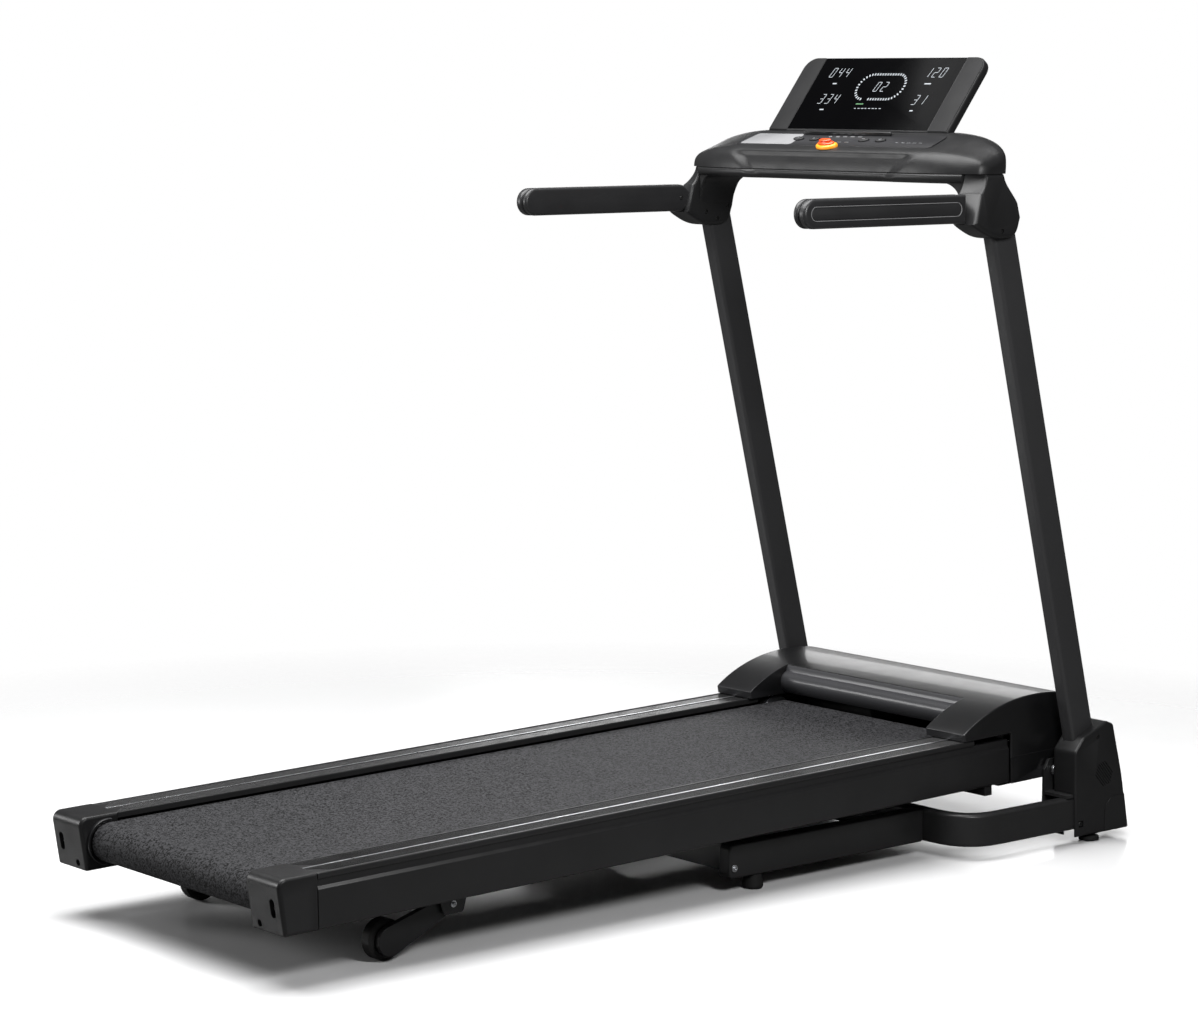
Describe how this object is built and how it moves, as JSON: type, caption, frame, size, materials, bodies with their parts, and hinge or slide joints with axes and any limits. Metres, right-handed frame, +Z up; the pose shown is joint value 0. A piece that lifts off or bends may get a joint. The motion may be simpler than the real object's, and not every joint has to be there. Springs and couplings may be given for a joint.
{
  "type": "folding treadmill",
  "caption": "Folding home treadmill with a belt deck, motor hood, leaning uprights, handlebars, tilted display and a low tube base.",
  "frame": {"origin": "on the floor, under the middle of the object's length and width", "axes": "+Y towards the hood and console (the way the user faces), +X to the user's right, +Z up"},
  "size_m": [0.798, 1.8016, 1.3894],
  "materials": {
    "frame_paint": "satin black powder coat",
    "black_plastic": "fine moulded grain, matte",
    "grip_plastic": "matte soft-touch black",
    "rail_plastic": "ribbed anti-slip strip with a silver line",
    "gloss_black": "gloss black",
    "grey_plastic": "grey key caps",
    "display_glass": "polished dark window with lit segments behind it",
    "running_belt": "fine speckled pebble grain",
    "foot_rubber": "plain matte",
    "wheel_tyre": "plain matte",
    "steel": "zinc plated",
    "aluminium": "extruded heat sink",
    "board": "waxed fibreboard",
    "red_plastic": "semi gloss",
    "orange_plastic": "semi gloss"
  },
  "bodies": {
    "frame": {"base_u_tube": "frame_paint", "base_beam_right": "frame_paint", "base_beam_left": "frame_paint", "base_cross_tube": "frame_paint", "base_foot_right": "foot_rubber", "base_foot_left": "foot_rubber", "pivot_bracket_right": "frame_paint", "pivot_bracket_left": "frame_paint", "fold_pin_right": "steel", "fold_pin_left": "steel", "upright_right": "frame_paint", "upright_left": "frame_paint", "foot_cover_right": "black_plastic", "foot_cover_left": "black_plastic", "knuckle_right": "black_plastic", "knuckle_left": "black_plastic", "handlebar_right": "grip_plastic", "handlebar_left": "grip_plastic", "console_top_shell": "black_plastic", "console_lower_shell": "black_plastic", "display_housing": "black_plastic", "display_glass": "display_glass", "tablet_ledge": "gloss_black", "safety_key_base": "orange_plastic"},
    "leveling_foot_right": {"leveling_foot_right": "foot_rubber"},
    "transport_wheel_right": {"transport_wheel_right": "wheel_tyre"},
    "leveling_foot_left": {"leveling_foot_left": "foot_rubber"},
    "transport_wheel_left": {"transport_wheel_left": "wheel_tyre"},
    "key_start": {"key_start": "grey_plastic"},
    "key_stop": {"key_stop": "grey_plastic"},
    "key_slower": {"key_slower": "grey_plastic"},
    "key_faster": {"key_faster": "grey_plastic"},
    "safety_key": {"safety_key": "red_plastic"},
    "deck": {"side_rail_right": "frame_paint", "foot_rail_right": "rail_plastic", "end_cap_right": "black_plastic", "side_rail_left": "frame_paint", "foot_rail_left": "rail_plastic", "end_cap_left": "black_plastic", "running_belt": "running_belt", "running_board": "board", "cross_member_rear": "frame_paint", "cross_member_front": "frame_paint", "lift_bar": "frame_paint", "motor_tray": "frame_paint", "drive_belt": "foot_rubber", "power_inlet": "black_plastic", "drive_motor": "frame_paint", "motor_controller": "aluminium", "motor_hood": "gloss_black"},
    "rear_roller": {"rear_roller": "steel"},
    "front_roller": {"front_roller": "steel"},
    "motor_pulley": {"motor_pulley": "steel"},
    "power_switch": {"power_switch": "red_plastic"},
    "strut_cylinder": {"strut_cylinder": "frame_paint"},
    "strut_rod": {"strut_rod": "steel"},
    "rear_foot_right": {"rear_foot_right": "black_plastic"},
    "rear_wheel_right": {"rear_wheel_right": "wheel_tyre"},
    "rear_foot_left": {"rear_foot_left": "black_plastic"},
    "rear_wheel_left": {"rear_wheel_left": "wheel_tyre"}
  },
  "joints": [
    {"name": "deck_fold", "type": "hinge", "parent": "frame", "child": "deck", "pos_m": [0, 0.76785, 0.125], "axis": [-1, 0, 0], "range_deg": [0, 70]},
    {"name": "strut_tilt", "type": "hinge", "parent": "frame", "child": "strut_cylinder", "pos_m": [0, 0.09785, 0.072], "axis": [1, 0, 0], "range_deg": [0, 20.75]},
    {"name": "strut_extend", "type": "slide", "parent": "strut_cylinder", "child": "strut_rod", "axis": [0, 0.9977, 0.068], "range_m": [0, 0.18595]},
    {"name": "front_roller_spin", "type": "hinge", "parent": "deck", "child": "front_roller", "pos_m": [0, 0.6284, 0.15685], "axis": [1, 0, 0], "continuous": true},
    {"name": "rear_roller_spin", "type": "hinge", "parent": "deck", "child": "rear_roller", "pos_m": [0, -0.85134, 0.12895], "axis": [1, 0, 0], "continuous": true},
    {"name": "motor_spin", "type": "hinge", "parent": "deck", "child": "motor_pulley", "pos_m": [0, 0.73771, 0.19441], "axis": [1, 0, 0], "continuous": true},
    {"name": "rear_foot_swing_right", "type": "hinge", "parent": "deck", "child": "rear_foot_right", "pos_m": [0.276, -0.55015, 0.076], "axis": [-1, 0, 0], "range_deg": [0, 20]},
    {"name": "rear_wheel_spin_right", "type": "hinge", "parent": "rear_foot_right", "child": "rear_wheel_right", "pos_m": [0.256, -0.66215, 0.033], "axis": [1, 0, 0], "continuous": true},
    {"name": "transport_wheel_spin_right", "type": "hinge", "parent": "frame", "child": "transport_wheel_right", "pos_m": [0.368, 0.86085, 0.035], "axis": [1, 0, 0], "continuous": true},
    {"name": "leveling_foot_turn_right", "type": "hinge", "parent": "frame", "child": "leveling_foot_right", "pos_m": [0.381, 0.81085, 0.008], "axis": [0, 0, 1], "continuous": true},
    {"name": "rear_foot_swing_left", "type": "hinge", "parent": "deck", "child": "rear_foot_left", "pos_m": [-0.276, -0.55015, 0.076], "axis": [-1, 0, 0], "range_deg": [0, 20]},
    {"name": "rear_wheel_spin_left", "type": "hinge", "parent": "rear_foot_left", "child": "rear_wheel_left", "pos_m": [-0.256, -0.66215, 0.033], "axis": [1, 0, 0], "continuous": true},
    {"name": "transport_wheel_spin_left", "type": "hinge", "parent": "frame", "child": "transport_wheel_left", "pos_m": [-0.368, 0.86085, 0.035], "axis": [1, 0, 0], "continuous": true},
    {"name": "leveling_foot_turn_left", "type": "hinge", "parent": "frame", "child": "leveling_foot_left", "pos_m": [-0.381, 0.81085, 0.008], "axis": [0, 0, 1], "continuous": true},
    {"name": "key_start_press", "type": "slide", "parent": "frame", "child": "key_start", "axis": [0, 0.3599, -0.933], "range_m": [0, 0.0008], "stiffness_N_per_m": 600},
    {"name": "key_stop_press", "type": "slide", "parent": "frame", "child": "key_stop", "axis": [0, 0.3599, -0.933], "range_m": [0, 0.0008], "stiffness_N_per_m": 600},
    {"name": "key_slower_press", "type": "slide", "parent": "frame", "child": "key_slower", "axis": [0, 0.3599, -0.933], "range_m": [0, 0.0008], "stiffness_N_per_m": 600},
    {"name": "key_faster_press", "type": "slide", "parent": "frame", "child": "key_faster", "axis": [0, 0.3599, -0.933], "range_m": [0, 0.0008], "stiffness_N_per_m": 600},
    {"name": "safety_key_pull", "type": "slide", "parent": "frame", "child": "safety_key", "axis": [0, -0.3599, 0.933], "range_m": [0, 0.025]},
    {"name": "power_switch_rock", "type": "hinge", "parent": "deck", "child": "power_switch", "pos_m": [0.251, 0.83094, 0.13016], "axis": [1, 0, 0], "range_deg": [0, 9]}
  ],
  "couplings": [
    {"joint": "strut_tilt", "follows": "deck_fold", "ratio": 0.29621},
    {"joint": "strut_extend", "follows": "deck_fold", "m_per_rad": 0.15204},
    {"joint": "rear_roller_spin", "follows": "front_roller_spin", "ratio": 1},
    {"joint": "motor_spin", "follows": "front_roller_spin", "ratio": 2.2353}
  ]
}
